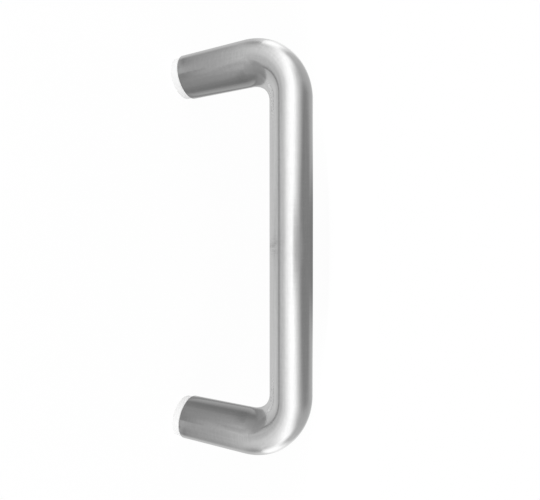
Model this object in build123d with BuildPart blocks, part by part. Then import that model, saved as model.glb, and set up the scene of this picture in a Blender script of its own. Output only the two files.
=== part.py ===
from build123d import *

import math
import os

# Arch cabinet handle: one round bar bent into an arch, with a nylon washer under each foot.
# The grip runs along X and the feet point down. The origin is on the mounting surface,
# midway between the two fixing holes. All sizes are in millimetres.

# Bar
bar_diameter = 18.0
fixing_centres = 160.0
grip_height = 50.0  # from the end of a foot to the grip's centreline
bend_radius = 19.0  # at the bar's centreline
foot_edge_break = 0.3

# Tapped fixing hole in each foot, for an M8 machine screw
thread_diameter = 8.0
tapping_drill_diameter = 6.8
drilled_depth = 20.0
countersink_clearance = 0.4  # how much wider the mouth is than the thread
countersink_angle = 90.0
drill_point_angle = 118.0

# Washers
washer_thickness = 4.0
washer_inset = 0.5  # how far the washer's rim lies inside the bar's
washer_hole_clearance = 1.0  # on the diameter, round the screw
washer_rim_chamfer = 0.5
washer_hole_chamfer = 0.4

# Places and sizes that follow
half_centres = fixing_centres / 2
foot_level = washer_thickness
grip_level = foot_level + grip_height
bar_radius = bar_diameter / 2
bore_radius = tapping_drill_diameter / 2
mouth_radius = (thread_diameter + countersink_clearance) / 2
mouth_depth = (mouth_radius - bore_radius) / math.tan(math.radians(countersink_angle / 2))
point_depth = bore_radius / math.tan(math.radians(drill_point_angle / 2))
washer_radius = bar_radius - washer_inset
washer_hole_radius = (thread_diameter + washer_hole_clearance) / 2
foot_places = {"left": -half_centres, "right": half_centres}

os.makedirs("parts", exist_ok=True)

# The bar is swept from one foot, over both bends and the grip, to the other foot.
with BuildPart() as handle:
    with BuildLine():
        FilletPolyline(
            (-half_centres, 0, foot_level),
            (-half_centres, 0, grip_level),
            (half_centres, 0, grip_level),
            (half_centres, 0, foot_level),
            radius=bend_radius,
        )
    with BuildSketch(Plane((-half_centres, 0, foot_level))):
        Circle(bar_radius)
    sweep()
    foot_rims = handle.edges().filter_by(GeomType.CIRCLE).group_by(Axis.Z)[0]
    chamfer(foot_rims, foot_edge_break)
    # Each blind hole is turned from its half section: mouth, tapping bore and drill point.
    for foot_x in foot_places.values():
        with BuildSketch(Plane.XZ.shift_origin((foot_x, 0, foot_level))):
            with BuildLine():
                Polyline(
                    (0, 0),
                    (mouth_radius, 0),
                    (bore_radius, mouth_depth),
                    (bore_radius, drilled_depth),
                    (0, drilled_depth + point_depth),
                    close=True,
                )
            make_face()
        revolve(axis=Axis((foot_x, 0, foot_level), (0, 0, 1)), mode=Mode.SUBTRACT)
handle.part.label = "handle"
export_step(handle.part, "parts/handle.step")

# A washer stands between each foot and the mounting surface.
for side, foot_x in foot_places.items():
    with BuildPart() as washer:
        with BuildSketch(Plane((foot_x, 0, 0))):
            Circle(washer_radius)
            Circle(washer_hole_radius, mode=Mode.SUBTRACT)
        extrude(amount=washer_thickness)
        rings = washer.edges().filter_by(GeomType.CIRCLE).group_by(SortBy.RADIUS)
        chamfer(rings[0], washer_hole_chamfer)
        chamfer(rings[-1], washer_rim_chamfer)
    washer.part.label = f"{side}_washer"
    export_step(washer.part, f"parts/{side}_washer.step")
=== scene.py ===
import math

import bpy
from mathutils import Matrix, Vector


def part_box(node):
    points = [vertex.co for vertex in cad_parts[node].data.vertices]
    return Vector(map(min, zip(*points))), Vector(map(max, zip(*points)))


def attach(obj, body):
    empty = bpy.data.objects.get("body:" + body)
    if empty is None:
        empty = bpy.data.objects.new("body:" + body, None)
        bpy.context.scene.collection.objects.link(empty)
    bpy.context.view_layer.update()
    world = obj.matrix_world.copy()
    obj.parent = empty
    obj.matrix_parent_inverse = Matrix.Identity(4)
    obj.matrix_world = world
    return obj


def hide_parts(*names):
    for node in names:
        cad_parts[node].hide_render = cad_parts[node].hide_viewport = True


# Arch cabinet handle: a bent bar of satin stainless steel on two white nylon washers.
# Everything is in metres, in the part's own frame: the grip along X, the feet pointing down.

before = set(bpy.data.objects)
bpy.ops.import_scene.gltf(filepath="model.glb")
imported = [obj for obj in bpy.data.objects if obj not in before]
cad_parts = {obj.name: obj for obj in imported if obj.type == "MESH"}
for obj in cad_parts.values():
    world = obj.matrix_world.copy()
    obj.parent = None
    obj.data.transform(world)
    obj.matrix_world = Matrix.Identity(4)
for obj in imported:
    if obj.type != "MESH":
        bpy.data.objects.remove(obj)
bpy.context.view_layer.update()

# Sizes of the bar, read from the imported solids, with the bend radius and the foot's edge break given
bar_low, bar_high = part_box("handle")
BAR_RADIUS = (bar_high.y - bar_low.y) / 2
FOOT_X = bar_high.x - BAR_RADIUS
FOOT_LEVEL = bar_low.z
GRIP_LEVEL = bar_high.z - BAR_RADIUS
BEND_RADIUS = 0.019
GRIP_HALF = FOOT_X - BEND_RADIUS
LEG_TOP = GRIP_LEVEL - BEND_RADIUS
LEG_LENGTH = LEG_TOP - FOOT_LEVEL
BEND_LENGTH = BEND_RADIUS * math.pi / 2
BAR_LENGTH = 2 * (LEG_LENGTH + BEND_LENGTH + GRIP_HALF)
FOOT_EDGE_BREAK = 0.0003

# The tapped hole in each foot: an M8 thread with a countersunk mouth
THREAD_PITCH = 0.00125
THREAD_MINOR_RADIUS = 0.0034
THREAD_MAJOR_RADIUS = 0.0040
THREAD_CREST = 0.22  # share of the pitch
THREAD_FLANKS = 0.56  # share of the pitch, both flanks together
MOUTH_RADIUS = 0.0042
THREADED_DEPTH = 0.0165
BORE_DEPTH = 0.020
DRILL_POINT_ANGLE = math.radians(118)

# Mesh steps of the bar
ROUND_STEPS = 144
STRAIGHT_STEP = 0.004
BEND_STEP = 0.0005
EDGE_STEPS = 4
FACE_RINGS = 6
THREAD_STEPS_PER_TURN = 12
SHARP_ANGLE = math.radians(35)

# Finish of the steel: grain in short lines round the bar, and faint drawing lines along it
STEEL_TONE = 0.62
STEEL_ROUGHNESS = 0.12
FINE_LINE_WIDTH = 0.00022
FINE_LINE_LENGTH = 0.004
FINE_GRAIN_DEPTH = 0.00001
COARSE_LINE_WIDTH = 0.0011
COARSE_LINE_LENGTH = 0.009
COARSE_GRAIN_DEPTH = 0.000011
DRAWN_LINE_WIDTH = 0.0016
DRAWN_LINE_LENGTH = 0.035
DRIFT_SCALE = 55.0

# Finish of the nylon
NYLON_TONE = 0.86
NYLON_ROUGHNESS = 0.42
CLOUD_SCALE = 240.0
PORE_SCALE = 2600.0
PORE_DEPTH = 0.000006

# Camera, as it stood for the photograph: close in, on its side, with the left foot at the top
PHOTO_WIDTH = 540
CAMERA_PLACE = Vector((-0.00065, -0.12386, 0.09049))
CAMERA_RIGHT = Vector((0.0006, 0.3475, 0.9377))
CAMERA_DOWN = Vector((0.9999, -0.0104, 0.0033))
FOCAL_PIXELS = 309.1
SENSOR_WIDTH = 36.0
CAMERA_CLIP = 0.005

# Studio. The camera sees a white floor and a white world. The metal sees a light tent above the
# floor, a light field and a glowing sheet below it, a dark rail that draws the line along the grip,
# and a dark card on edge in the arch's middle plane, which darkens the legs.
FLOOR_HALF = 4.0
FLOOR_TONE = 0.06
FLOOR_GLOW = 0.95
FLOOR_ROUGHNESS = 0.9
TENT_RADIUS = 0.42
FIELD_RADIUS = 3.0
TENT_COLUMNS = 72
TENT_ROWS = 18
SHEET_HALF = 0.42
SHEET_LEVEL = -0.0002
RAIL_LEVEL = -1.0
RAIL_AHEAD = 0.885
RAIL_WIDTH = 0.17
RAIL_HALF = 0.9
RAIL_TONE = 0.19
CARD_TOP = 0.010

# Brightness of the tent over the angle above the horizon, in degrees
TENT_MIDDLE = (
    (0, 1.15), (7, 1.40), (17, 1.55), (28, 1.60), (33, 1.25), (38, 0.90),
    (47, 0.73), (57, 0.62), (67, 0.45), (77, 0.39), (90, 0.33),
)
TENT_FRONT = (
    (0, 1.15), (7, 1.40), (17, 1.60), (28, 1.65), (36, 1.55), (44, 1.20),
    (53, 0.88), (61, 0.62), (69, 0.38), (80, 0.30), (90, 0.31),
)
TENT_SIDE = (
    (0, 0.80), (4, 0.92), (9, 1.15), (14, 1.45), (18, 1.60), (25, 1.50), (31, 1.08),
    (38, 0.70), (46, 0.62), (55, 0.45), (65, 0.33), (90, 0.31),
)
# High up, the flank and the back are the same
TENT_HIGH = ((35, 0.60), (48, 0.54), (60, 0.35), (90, 0.31))
TENT_FLANK = ((0, 1.30), (4, 1.60), (11, 1.55), (15, 1.20), (20, 0.72)) + TENT_HIGH
TENT_BACK = ((0, 1.20), (12, 1.00), (22, 0.65)) + TENT_HIGH
TENT_REAR = ((0, 0.28), (40, 0.28), (60, 0.32), (90, 0.31))

# Brightness of the field over the same angle, below the horizon
FIELD_FRONT = (
    (-90, 0.70), (-70, 0.68), (-60, 0.60), (-50, 0.48), (-42, 0.43), (-36, 0.50),
    (-31, 0.43), (-24, 0.38), (-20, 0.40), (-10, 0.45), (0, 1.00),
)
FIELD_SIDE = (
    (-90, 0.78), (-60, 0.80), (-46, 0.52), (-36, 0.42), (-31.5, 0.26), (-30, 0.28),
    (-28.5, 0.40), (-22, 0.42), (-20.5, 0.56), (-16, 0.44), (-10, 0.34), (0, 0.70),
)
FIELD_BACK = ((-90, 0.78), (-50, 0.78), (-32, 0.65), (-14, 0.70), (0, 1.20))
FIELD_REAR = ((-90, 0.78), (-50, 0.78), (-32, 0.65), (-14, 0.60), (0, 0.40))

# Where each profile takes over from the one before: two angles away from the front, in degrees
TENT_TURNS = (
    (TENT_FRONT, 4, 18), (TENT_SIDE, 30, 80), (TENT_FLANK, 72, 90),
    (TENT_BACK, 98, 114), (TENT_REAR, 150, 172),
)
FIELD_TURNS = ((FIELD_SIDE, 15, 60), (FIELD_BACK, 80, 105), (FIELD_REAR, 150, 172))

# Brightness of the sheet from front to back, in metres
SHEET_GLOW = (
    (-0.42, 0.78), (-0.30, 0.68), (-0.17, 0.54), (-0.12, 0.46), (-0.095, 0.34),
    (-0.070, 0.22), (-0.055, 0.16), (-0.01, 0.04), (0.06, 0.0),
)

# Brightness of the card beside the feet, from front to back in metres
CARD_NEAR = (
    (-0.14, 0.32), (-0.025, 0.32), (-0.005, 0.27), (0.018, 0.24), (0.035, 0.26),
    (0.055, 0.38), (0.09, 0.48), (0.13, 0.52),
)
# Below the feet, over the level in metres, and even where that is ahead of them
CARD_LOW = ((-0.50, 0.42), (-0.30, 0.36), (-0.14, 0.36), (-0.10, 0.30), (-0.05, 0.28))
CARD_LOW_AHEAD = 0.30
# Far ahead of the feet, over the angle above the horizon in degrees
CARD_FAR = (
    (-90, 0.34), (-60, 0.32), (-42, 0.30), (-32, 0.27), (-29, 0.28), (-26.5, 0.40),
    (-21.5, 0.42), (-19, 0.24), (0, 0.20),
)
# To a ray that has met the metal twice
CARD_AGAIN = 1.25
# Where these take over, in metres: going down, coming back from the front, and going far ahead
CARD_LOW_BAND = (-0.09, -0.06)
CARD_BACK_BAND = (-0.055, -0.03)
CARD_FAR_BAND = (0.12, 0.20)


class Value:
    """A shader socket that can be used in Python arithmetic."""

    def __init__(self, material, socket):
        self.material = material
        self.socket = socket

    def _math(self, operation, *inputs):
        return self.material.node("ShaderNodeMath", {"operation": operation}, dict(enumerate(inputs)))

    def __add__(self, other):
        return self._math("ADD", self, other)

    def __radd__(self, other):
        return self._math("ADD", other, self)

    def __sub__(self, other):
        return self._math("SUBTRACT", self, other)

    def __rsub__(self, other):
        return self._math("SUBTRACT", other, self)

    def __mul__(self, other):
        return self._math("MULTIPLY", self, other)

    def __rmul__(self, other):
        return self._math("MULTIPLY", other, self)

    def __truediv__(self, other):
        return self._math("DIVIDE", self, other)

    def __rtruediv__(self, other):
        return self._math("DIVIDE", other, self)

    def __neg__(self):
        return self._math("SUBTRACT", 0.0, self)

    def __abs__(self):
        return self._math("ABSOLUTE", self)

    def root(self):
        return self._math("SQRT", self)

    def angle_from(self, other):
        """The angle of (other, self) from the other axis, in degrees."""
        return self._math("ARCTAN2", self, other) * math.degrees(1)

    def smooth(self, low, high):
        """0 below low, 1 above high, and an even curve between."""
        settings = {"interpolation_type": "SMOOTHSTEP"}
        inputs = {"Value": self, "From Min": low, "From Max": high}
        return self.material.node("ShaderNodeMapRange", settings, inputs)


class Material:
    """A node material with one method that makes any node."""

    def __init__(self, name):
        self.data = bpy.data.materials.new(name)
        self.data.use_nodes = True
        self.nodes = self.data.node_tree.nodes
        self.links = self.data.node_tree.links
        self.nodes.clear()

    def node(self, kind, settings=None, inputs=None, output=0):
        made = self.nodes.new(kind)
        for name, setting in (settings or {}).items():
            if name == "stops":
                self.set_stops(made, setting)
            else:
                setattr(made, name, setting)
        for name, value in (inputs or {}).items():
            if isinstance(value, Value):
                self.links.new(value.socket, made.inputs[name])
            else:
                made.inputs[name].default_value = value
        return Value(self, made.outputs[output])

    def set_stops(self, ramp_node, stops):
        elements = ramp_node.color_ramp.elements
        while len(elements) < len(stops):
            elements.new(0.5)
        for element, (place, tone) in zip(elements, stops):
            element.position = place
            element.color = (tone, tone, tone, 1.0)

    def level(self, value, stops):
        """The level at that value, on straight lines between stops of (value, level)."""
        low, high = stops[0][0], stops[-1][0]
        peak = max(level for _, level in stops)
        even = [((place - low) / (high - low), level / peak) for place, level in stops]
        share = (value - low) / (high - low)
        return self.node("ShaderNodeValToRGB", {"stops": even}, {"Fac": share}) * peak

    def place(self):
        """The surface point as three values, in metres."""
        point = self.node("ShaderNodeTexCoord", output="Object")
        return [self.node("ShaderNodeSeparateXYZ", inputs={0: point}, output=axis) for axis in "XYZ"]

    def measure(self, name):
        """A number that the mesh carries at each of its points."""
        return self.node("ShaderNodeAttribute", {"attribute_name": name}, output="Fac")

    def vector(self, x, y, z):
        return self.node("ShaderNodeCombineXYZ", inputs={"X": x, "Y": y, "Z": z})

    def noise(self, scale, detail, spot=None):
        """Soft noise about one half. Without a spot, it is laid out over the piece's own box."""
        inputs = {"Scale": scale, "Detail": detail}
        if spot:
            inputs["Vector"] = spot
        return self.node("ShaderNodeTexNoise", inputs=inputs)

    def grey(self, tone):
        """A neutral colour of that brightness."""
        return self.node("ShaderNodeCombineColor", inputs={"Red": tone, "Green": tone, "Blue": tone})

    def bump(self, height):
        """The surface's normal, tilted by a height in metres."""
        return self.node("ShaderNodeBump", inputs={"Height": height, "Distance": 1.0, "Strength": 1.0})

    def surface(self, inputs):
        return self.finish(self.node("ShaderNodeBsdfPrincipled", inputs=inputs))

    def glow(self, brightness):
        return self.node("ShaderNodeEmission", inputs={"Color": self.grey(brightness), "Strength": 1.0})

    def finish(self, shader):
        output = self.nodes.new("ShaderNodeOutputMaterial")
        self.links.new(shader.socket, output.inputs["Surface"])
        return self.data


def swing(noise, spread):
    """A noise as a swing of that spread about nought."""
    return (noise - 0.5) * spread


def blend(first, second, share):
    """The first value, moved by that share of the way to the second."""
    return first + (second - first) * share


def satin_steel():
    """Stainless steel, satin finished with a fine grain that runs round the bar."""
    steel = Material("satin_steel")
    x, y, z = steel.place()
    along = steel.measure("along")
    outward = steel.measure("outward")

    def grain(line_width, line_length, detail):
        """Lines of one width, side by side along the bar, each of a certain length round it."""
        slow = 1 / line_length
        spot = steel.vector(along / line_width + x * slow, y * slow, z * slow)
        return steel.noise(1.0, detail, spot)

    fine = grain(FINE_LINE_WIDTH, FINE_LINE_LENGTH, 3.0)
    coarse = grain(COARSE_LINE_WIDTH, COARSE_LINE_LENGTH, 2.0)
    lengthwise = steel.vector(along / DRAWN_LINE_LENGTH, y / DRAWN_LINE_WIDTH, outward / DRAWN_LINE_WIDTH)
    drawn = steel.noise(1.0, 3.0, lengthwise)
    drift = steel.noise(DRIFT_SCALE, 2.0)
    return steel.surface({
        "Base Color": steel.grey(STEEL_TONE + swing(coarse, 0.04) + swing(drawn, 0.10) + swing(drift, 0.08)),
        "Metallic": 1.0,
        "Roughness": STEEL_ROUGHNESS + swing(fine, 0.10) + swing(coarse, 0.08) + swing(drawn, 0.12),
        "Normal": steel.bump(fine * FINE_GRAIN_DEPTH + coarse * COARSE_GRAIN_DEPTH),
    })


def white_nylon():
    """Natural nylon: milky, smooth, and a little uneven from the mould."""
    nylon = Material("white_nylon")
    cloud = nylon.noise(CLOUD_SCALE, 3.0)
    pores = nylon.noise(PORE_SCALE, 2.0)
    return nylon.surface({
        "Base Color": nylon.grey(NYLON_TONE + swing(cloud, 0.06)),
        "Roughness": NYLON_ROUGHNESS + swing(pores, 0.12),
        "Normal": nylon.bump(pores * PORE_DEPTH),
    })


def pale_floor():
    floor = Material("pale_floor")
    return floor.surface({
        "Base Color": (FLOOR_TONE, FLOOR_TONE, FLOOR_TONE, 1.0),
        "Roughness": FLOOR_ROUGHNESS,
        "Specular IOR Level": 0.0,
        "Emission Color": (1.0, 1.0, 1.0, 1.0),
        "Emission Strength": FLOOR_GLOW,
    })


def cloth(name, first, turns):
    """Lit cloth whose brightness follows the angle above the horizon.

    The first profile holds at the front, and each other one takes over between two turns from it.
    """
    lamp = Material(name)
    x, y, z = lamp.place()
    rise = z.angle_from((x * x + y * y).root())
    turn = abs(x).angle_from(-y)
    brightness = lamp.level(rise, first)
    for profile, near, far in turns:
        brightness = blend(brightness, lamp.level(rise, profile), turn.smooth(near, far))
    return lamp.finish(lamp.glow(brightness))


def card_face():
    """Grey that follows the place beside and below the feet, and the angle far ahead of them."""
    lamp = Material("card_face")
    _, y, z = lamp.place()
    low = blend(CARD_LOW_AHEAD, lamp.level(z, CARD_LOW), y.smooth(*CARD_BACK_BAND))
    near = blend(lamp.level(y, CARD_NEAR), low, 1 - z.smooth(*CARD_LOW_BAND))
    far = lamp.level(z.angle_from(-y), CARD_FAR)
    once = blend(near, far, (-y).smooth(*CARD_FAR_BAND))
    again = lamp.node("ShaderNodeLightPath", output="Ray Depth").smooth(1, 2)
    return lamp.finish(lamp.glow(blend(once, CARD_AGAIN, again)))


def rail_black():
    lamp = Material("rail_black")
    return lamp.finish(lamp.glow(RAIL_TONE))


def sheet_glow():
    """A see-through glow that changes from front to back."""
    lamp = Material("sheet_glow")
    _, y, _ = lamp.place()
    clear = lamp.node("ShaderNodeBsdfTransparent")
    lit = lamp.glow(lamp.level(y, SHEET_GLOW))
    return lamp.finish(lamp.node("ShaderNodeAddShader", inputs={0: lit, 1: clear}))


def mesh_object(name, points, faces, material):
    mesh = bpy.data.meshes.new(name)
    mesh.from_pydata(points, [], faces)
    mesh.materials.append(material)
    made = bpy.data.objects.new(name, mesh)
    bpy.context.scene.collection.objects.link(made)
    return made


def steps_between(low, high, step):
    """Even steps from low up to, and not with, high."""
    count = max(1, round((high - low) / step))
    return [low + (high - low) * i / count for i in range(count)]


def bar_frame(along):
    """The centreline's point and direction, that far along the bar from the left foot."""
    past_leg = along - LEG_LENGTH
    past_bend = past_leg - BEND_LENGTH
    if past_leg <= 0:
        return Vector((-FOOT_X, 0, FOOT_LEVEL + along)), Vector((0, 0, 1))
    if past_bend >= 0:
        return Vector((past_bend - GRIP_HALF, 0, GRIP_LEVEL)), Vector((1, 0, 0))
    turn = past_leg / BEND_RADIUS
    centre = Vector((-GRIP_HALF, 0, LEG_TOP))
    spoke = Vector((-math.cos(turn), 0, math.sin(turn)))
    return centre + spoke * BEND_RADIUS, Vector((math.sin(turn), 0, math.cos(turn)))


def bar_ring(along, radius, side):
    """A ring of points round the bar. On the right side the ring is mirrored."""
    middle, direction = bar_frame(along)
    across = Vector((0, 1, 0))
    outward = direction.cross(across)
    ring = []
    for step in range(ROUND_STEPS):
        turn = 2 * math.pi * step / ROUND_STEPS
        point = middle + (across * math.cos(turn) + outward * math.sin(turn)) * radius
        ring.append(Vector((point.x * side, point.y, point.z)))
    return ring


def thread_radius(depth, turn):
    """The hole's radius at a depth and an angle.

    It is a right-hand thread that runs out before the bore ends, with the countersunk mouth.
    """
    phase = (depth / THREAD_PITCH - turn / (2 * math.pi)) % 1.0
    ridge = abs(2 * phase - 1)
    groove = min(1.0, max(0.0, (ridge - THREAD_CREST) / THREAD_FLANKS))
    run_out = min(1.0, max(0.0, (THREADED_DEPTH - depth) / THREAD_PITCH))
    cut = (THREAD_MAJOR_RADIUS - THREAD_MINOR_RADIUS) * groove * run_out
    return max(THREAD_MINOR_RADIUS + cut, MOUTH_RADIUS - depth)


def hole_ring(depth, side):
    middle = Vector((-FOOT_X, 0, FOOT_LEVEL + depth))
    ring = []
    for step in range(ROUND_STEPS):
        turn = 2 * math.pi * step / ROUND_STEPS
        radius = thread_radius(depth, side * turn)
        point = middle + Vector((-math.sin(turn), math.cos(turn), 0)) * radius
        ring.append(Vector((point.x * side, point.y, point.z)))
    return ring


def foot_rings(side):
    """Rings from the drill point, up the threaded wall and over the foot's face to the bar's side.

    Each comes with its place on one running measure, which goes on along the bar.
    """
    rings = []
    depths = [BORE_DEPTH, (BORE_DEPTH + THREADED_DEPTH) / 2]
    depths += reversed(steps_between(0, THREADED_DEPTH, THREAD_PITCH / THREAD_STEPS_PER_TURN))
    for depth in depths:
        rings.append((-BAR_RADIUS - depth, hole_ring(depth, side)))
    face_radius = BAR_RADIUS - FOOT_EDGE_BREAK
    for i in range(1, FACE_RINGS):
        radius = MOUTH_RADIUS + (face_radius - MOUTH_RADIUS) * i / FACE_RINGS
        rings.append((radius - BAR_RADIUS, bar_ring(0, radius, side)))
    for i in range(EDGE_STEPS + 1):
        turn = math.pi / 2 * i / EDGE_STEPS
        radius = face_radius + FOOT_EDGE_BREAK * math.sin(turn)
        rise = FOOT_EDGE_BREAK * (1 - math.cos(turn))
        rings.append((rise, bar_ring(rise, radius, side)))
    return rings


def bar_rings():
    """Foot, leg, bend and half the grip, then the same mirrored."""
    places = steps_between(FOOT_EDGE_BREAK, LEG_LENGTH, STRAIGHT_STEP)[1:]
    places += steps_between(LEG_LENGTH, LEG_LENGTH + BEND_LENGTH, BEND_STEP)
    places += steps_between(LEG_LENGTH + BEND_LENGTH, BAR_LENGTH / 2, STRAIGHT_STEP)
    half = {}
    for side in (1, -1):
        half[side] = foot_rings(side) + [(place, bar_ring(place, BAR_RADIUS, side)) for place in places]
    middle = (BAR_LENGTH / 2, bar_ring(BAR_LENGTH / 2, BAR_RADIUS, 1))
    return half[1] + [middle] + [(BAR_LENGTH - place, ring) for place, ring in reversed(half[-1])]


def make_bar():
    """The whole bar as one closed mesh, which carries the measures that its grain follows."""
    rings = bar_rings()
    points = [point for _, ring in rings for point in ring]
    alongs = [place for place, _ in rings for _ in range(ROUND_STEPS)]
    outwards = [BAR_RADIUS * math.sin(2 * math.pi * step / ROUND_STEPS) for step in range(ROUND_STEPS)]
    outwards *= len(rings)
    last = len(points) - ROUND_STEPS
    tips = (len(points), len(points) + 1)
    tip_level = FOOT_LEVEL + BORE_DEPTH + THREAD_MINOR_RADIUS / math.tan(DRILL_POINT_ANGLE / 2)
    tip_place = BAR_RADIUS + BORE_DEPTH + THREAD_MINOR_RADIUS
    points += [Vector((-FOOT_X, 0, tip_level)), Vector((FOOT_X, 0, tip_level))]
    alongs += [-tip_place, BAR_LENGTH + tip_place]
    outwards += [0.0, 0.0]
    faces = []
    for i in range(ROUND_STEPS):
        j = (i + 1) % ROUND_STEPS
        faces.append((tips[0], j, i))
        faces.append((tips[1], last + i, last + j))
        for low in range(0, last, ROUND_STEPS):
            faces.append((low + i, low + j, low + ROUND_STEPS + j, low + ROUND_STEPS + i))
    bar = mesh_object("bar", points, faces, satin_steel())
    for name, values in (("along", alongs), ("outward", outwards)):
        measure = bar.data.attributes.new(name, "FLOAT", "POINT")
        measure.data.foreach_set("value", values)
    bar.data.shade_smooth()
    bar.data.set_sharp_from_angle(angle=SHARP_ANGLE)
    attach(bar, "root")
    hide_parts("handle")


def only_reflected(piece):
    """The piece shows in reflections and lights the object by them, and the camera looks through it."""
    piece.visible_camera = False
    piece.data.materials[0].cycles.emission_sampling = "NONE"


def level_piece(name, half, front, back, level, material):
    """A level rectangle, half that wide to each side, between two places from front to back."""
    corners = [(-half, front), (half, front), (half, back), (-half, back)]
    points = [Vector((x, y, level)) for x, y in corners]
    return mesh_object(name, points, [(0, 1, 2, 3)], material)


def make_floor():
    floor = level_piece("floor", FLOOR_HALF, -FLOOR_HALF, FLOOR_HALF, 0.0, pale_floor())
    floor.visible_glossy = False
    floor.visible_shadow = False
    floor.visible_transmission = False


def make_half_ball(name, radius, upward, material):
    """Half a ball of cloth round the object, above or below the floor."""
    points, faces = [], []
    for row in range(TENT_ROWS + 1):
        rise = upward * math.pi / 2 * row / TENT_ROWS
        flat, level = radius * math.cos(rise), radius * math.sin(rise)
        for column in range(TENT_COLUMNS):
            turn = 2 * math.pi * column / TENT_COLUMNS
            points.append(Vector((flat * math.sin(turn), -flat * math.cos(turn), level)))
    for row in range(TENT_ROWS):
        for column in range(TENT_COLUMNS):
            low = row * TENT_COLUMNS + column
            beside = row * TENT_COLUMNS + (column + 1) % TENT_COLUMNS
            faces.append((low, beside, beside + TENT_COLUMNS, low + TENT_COLUMNS))
    only_reflected(mesh_object(name, points, faces, material))


def make_card():
    """The card on edge, from just above the feet down to the field."""
    far = FIELD_RADIUS
    corners = [(-far, -far), (far, -far), (far, CARD_TOP), (-far, CARD_TOP)]
    points = [Vector((0, y, z)) for y, z in corners]
    card = mesh_object("dark_card", points, [(0, 1, 2, 3)], card_face())
    card.visible_diffuse = False
    card.visible_shadow = False
    only_reflected(card)


def make_studio():
    make_half_ball("light_tent", TENT_RADIUS, 1, cloth("tent_cloth", TENT_MIDDLE, TENT_TURNS))
    make_half_ball("light_field", FIELD_RADIUS, -1, cloth("field_cloth", FIELD_FRONT, FIELD_TURNS))
    sheet = level_piece("light_sheet", SHEET_HALF, -SHEET_HALF, SHEET_HALF, SHEET_LEVEL, sheet_glow())
    only_reflected(sheet)
    rail_front = -RAIL_AHEAD - RAIL_WIDTH / 2
    rail = level_piece("dark_rail", RAIL_HALF, rail_front, rail_front + RAIL_WIDTH, RAIL_LEVEL, rail_black())
    only_reflected(rail)
    make_card()


def make_camera():
    camera = bpy.data.objects.new("camera", bpy.data.cameras.new("camera"))
    camera.data.sensor_width = SENSOR_WIDTH
    camera.data.lens = FOCAL_PIXELS / PHOTO_WIDTH * SENSOR_WIDTH
    camera.data.clip_start = CAMERA_CLIP
    up = -CAMERA_DOWN
    back = CAMERA_RIGHT.cross(up)
    turn = Matrix((CAMERA_RIGHT, up, back)).transposed()
    camera.matrix_world = Matrix.Translation(CAMERA_PLACE) @ turn.to_4x4()
    bpy.context.scene.collection.objects.link(camera)
    bpy.context.scene.camera = camera


def set_world():
    world = bpy.data.worlds.new("studio")
    world.use_nodes = True
    world.node_tree.nodes["Background"].inputs["Color"].default_value = (1.0, 1.0, 1.0, 1.0)
    bpy.context.scene.world = world
    bpy.context.scene.view_settings.view_transform = "Standard"


def dress(node, material):
    """Gives a CAD node its finish."""
    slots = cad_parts[node].data.materials
    slots.clear()
    slots.append(material)


set_world()
make_camera()
make_floor()
make_studio()
make_bar()
nylon = white_nylon()
dress("left_washer", nylon)
dress("right_washer", nylon)
